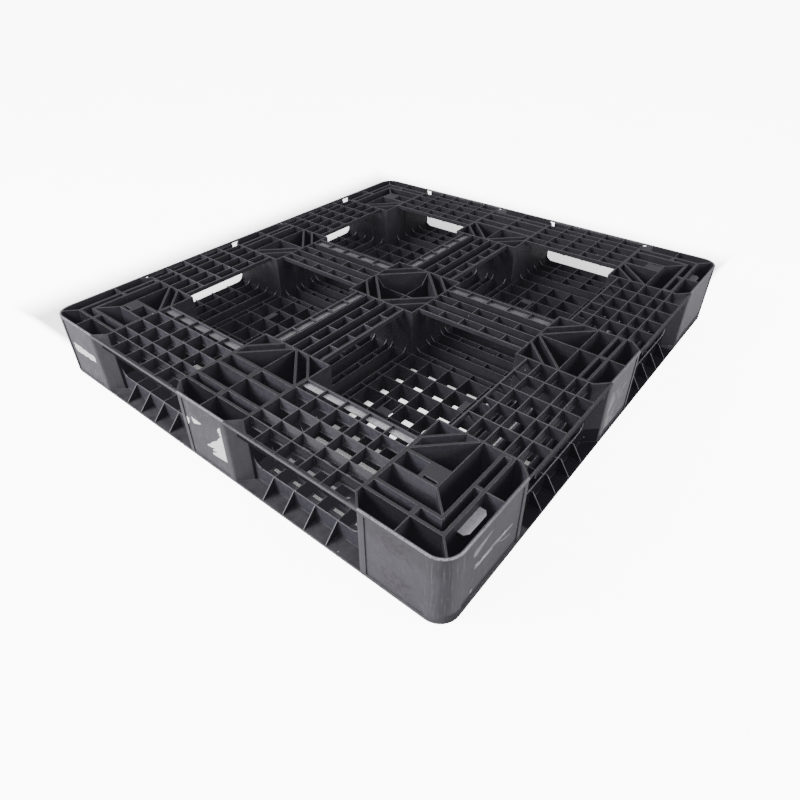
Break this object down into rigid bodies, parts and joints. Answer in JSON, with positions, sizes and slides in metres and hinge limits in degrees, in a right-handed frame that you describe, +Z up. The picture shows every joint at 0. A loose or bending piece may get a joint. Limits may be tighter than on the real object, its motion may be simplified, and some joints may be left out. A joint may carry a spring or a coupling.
{
  "type": "plastic pallet",
  "caption": "Rectangular four-way plastic pallet with open-rib double decks, hollow spacer blocks between them, fork tunnels from all sides and large windows through one deck.",
  "frame": {"origin": "centre of the footprint, on the ground", "axes": "+X along the 1100 mm side, +Y along the 1200 mm side, +Z up"},
  "size_m": [1.1, 1.2, 0.15],
  "materials": {
    "black_plastic": "moulded charcoal-black polyolefin, dusty and scuffed on the outer faces",
    "label_paper": "remains of a blank white paper label, torn edges"
  },
  "bodies": {
    "root": {"upper_deck": "black_plastic", "lower_deck": "black_plastic", "corner_block_front_left": "black_plastic", "corner_block_front_right": "black_plastic", "corner_block_rear_left": "black_plastic", "corner_block_rear_right": "black_plastic", "side_block_front": "black_plastic", "side_block_rear": "black_plastic", "side_block_left": "black_plastic", "side_block_right": "black_plastic", "centre_block": "black_plastic", "label_front_main": "label_paper", "label_front_scrap": "label_paper", "label_front_edge": "label_paper", "label_left_strip": "label_paper"}
  },
  "joints": []
}
